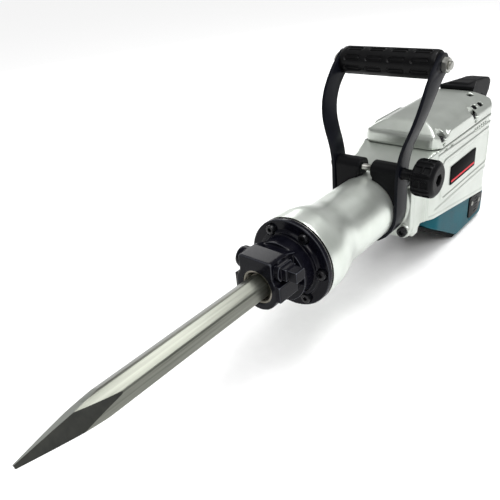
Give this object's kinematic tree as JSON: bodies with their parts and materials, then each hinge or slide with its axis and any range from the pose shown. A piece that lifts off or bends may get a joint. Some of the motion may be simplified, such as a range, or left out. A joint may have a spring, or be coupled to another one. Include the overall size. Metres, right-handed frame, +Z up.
{
  "type": "electric jackhammer",
  "caption": "Electric demolition hammer with a pointed hexagon chisel, a clamped swivelling side handle, a rear handle with a sprung trigger and a motor-driven air-spring hammer.",
  "frame": {"origin": "on the ground at the middle of the flat foot, in the tool's plane of symmetry", "axes": "+X from the chisel to the rear handle along the strike axis, +Y to the left, +Z up; the tool rests on its foot"},
  "size_m": [1.0336, 0.2, 0.37],
  "materials": {
    "chisel": "brushed",
    "front_cover": "black coated casting",
    "tool_holder": "machined",
    "stop_lever": "black oxide",
    "lever_retainer": "dark zinc",
    "front_screws": "black oxide",
    "spacer_ring": "machined",
    "front_gasket": "matte",
    "cylinder_case": "satin casting",
    "cylinder_liner": "honed",
    "damper_ring": "matte",
    "damper_holder": "machined",
    "impact_bolt": "ground",
    "striker": "ground",
    "piston": "turned",
    "piston_ring": "matte",
    "piston_pin": "ground",
    "connecting_rod": "cast",
    "crank_pin": "ground",
    "crank_shaft": "turned",
    "crank_bearings": "polished",
    "final_gear": "hardened",
    "intermediate_gear": "hardened",
    "gear_bearings": "polished",
    "armature": "laminated core",
    "commutator": "turned copper",
    "fan": "moulded",
    "armature_bearings": "polished",
    "stator": "laminated core",
    "field_coils": "varnished copper",
    "carbon_brushes": "pressed carbon",
    "brush_springs": "spring wire",
    "brush_holders": "moulded",
    "brush_cover_left": "moulded",
    "brush_cover_right": "moulded",
    "brush_cover_screws": "black zinc",
    "crank_case": "silver coated casting",
    "bearing_plate": "machined",
    "case_bolts": "black oxide",
    "top_cover": "silver coated casting",
    "top_cover_bolts": "black zinc",
    "tail_cover": "teal moulding",
    "tail_foot": "matte",
    "tail_screws": "zinc",
    "side_labels": "blank plate",
    "rear_handle": "moulded",
    "handle_cover": "moulded",
    "handle_screws": "zinc",
    "trigger": "moulded",
    "trigger_pin": "ground",
    "trigger_spring": "spring wire",
    "switch": "moulded",
    "cord_gland": "matte",
    "handle_strap": "black powder coat",
    "clamp_blocks": "black coated casting",
    "clamp_bolt": "zinc",
    "clamp_spacer": "moulded",
    "clamp_knob": "moulded",
    "side_grip": "moulded",
    "grip_rod": "zinc"
  },
  "bodies": {
    "hammer": {"front_cover": "front_cover", "tool_holder": "tool_holder", "front_screws": "front_screws", "spacer_ring": "spacer_ring", "front_gasket": "front_gasket", "cylinder_case": "cylinder_case", "cylinder_liner": "cylinder_liner", "damper_ring": "damper_ring", "damper_holder": "damper_holder", "crank_bearings": "crank_bearings", "gear_bearings": "gear_bearings", "armature_bearings": "armature_bearings", "stator": "stator", "field_coils": "field_coils", "carbon_brushes": "carbon_brushes", "brush_springs": "brush_springs", "brush_holders": "brush_holders", "brush_cover_left": "brush_cover_left", "brush_cover_right": "brush_cover_right", "brush_cover_screws": "brush_cover_screws", "crank_case": "crank_case", "bearing_plate": "bearing_plate", "case_bolts": "case_bolts", "top_cover": "top_cover", "top_cover_bolts": "top_cover_bolts", "tail_cover": "tail_cover", "tail_foot": "tail_foot", "tail_screws": "tail_screws", "side_labels": "side_labels", "rear_handle": "rear_handle", "handle_cover": "handle_cover", "handle_screws": "handle_screws", "trigger_pin": "trigger_pin", "trigger_spring": "trigger_spring", "switch": "switch", "cord_gland": "cord_gland"},
    "chisel": {"chisel": "chisel"},
    "stop_lever": {"stop_lever": "stop_lever", "lever_retainer": "lever_retainer"},
    "side_handle": {"handle_strap": "handle_strap", "clamp_blocks": "clamp_blocks", "clamp_bolt": "clamp_bolt", "clamp_spacer": "clamp_spacer", "side_grip": "side_grip", "grip_rod": "grip_rod"},
    "clamp_knob": {"clamp_knob": "clamp_knob"},
    "trigger": {"trigger": "trigger"},
    "crank": {"crank_shaft": "crank_shaft", "final_gear": "final_gear"},
    "intermediate": {"intermediate_gear": "intermediate_gear"},
    "armature": {"armature": "armature", "commutator": "commutator", "fan": "fan"},
    "piston": {"piston": "piston", "piston_ring": "piston_ring", "piston_pin": "piston_pin", "connecting_rod": "connecting_rod", "crank_pin": "crank_pin"},
    "striker": {"striker": "striker"},
    "impact_bolt": {"impact_bolt": "impact_bolt"}
  },
  "joints": [
    {"name": "chisel_slide", "type": "slide", "parent": "hammer", "child": "chisel", "axis": [-1, 0, 0], "range_m": [0, 0.022]},
    {"name": "stop_lever_turn", "type": "hinge", "parent": "hammer", "child": "stop_lever", "pos_m": [-0.53, 0, 0.1735], "axis": [0, 1, 0], "range_deg": [0, 180]},
    {"name": "side_handle_swivel", "type": "hinge", "parent": "hammer", "child": "side_handle", "pos_m": [-0.276, 0, 0.147], "axis": [1, 0, 0], "range_deg": [-180, 180]},
    {"name": "clamp_knob_turn", "type": "hinge", "parent": "side_handle", "child": "clamp_knob", "pos_m": [-0.276, -0.092, 0.209], "axis": [0, 1, 0], "range_deg": [0, 360]},
    {"name": "trigger_pull", "type": "hinge", "parent": "hammer", "child": "trigger", "pos_m": [0.13, 0, 0.207], "axis": [0, -1, 0], "range_deg": [0, 8], "stiffness_Nm_per_rad": 1.2, "springref_deg": -6.88, "deforming": ["trigger_spring"]},
    {"name": "crank_spin", "type": "hinge", "parent": "hammer", "child": "crank", "pos_m": [-0.12325, 0, 0.147], "axis": [0, 0, 1], "continuous": true},
    {"name": "intermediate_spin", "type": "hinge", "parent": "hammer", "child": "intermediate", "pos_m": [-0.05325, 0, 0.147], "axis": [0, 0, 1], "continuous": true},
    {"name": "armature_spin", "type": "hinge", "parent": "hammer", "child": "armature", "pos_m": [0.003, 0, 0.147], "axis": [0, 0, 1], "continuous": true},
    {"name": "piston_slide", "type": "slide", "parent": "hammer", "child": "piston", "axis": [-1, 0, 0], "range_m": [0, 0.048]},
    {"name": "striker_slide", "type": "slide", "parent": "hammer", "child": "striker", "axis": [-1, 0, 0], "range_m": [0, 0.017]},
    {"name": "impact_bolt_slide", "type": "slide", "parent": "hammer", "child": "impact_bolt", "axis": [1, 0, 0], "range_m": [0, 0.006]}
  ],
  "couplings": [
    {"joint": "intermediate_spin", "follows": "crank_spin", "ratio": -2.5},
    {"joint": "armature_spin", "follows": "crank_spin", "ratio": 14.545}
  ]
}
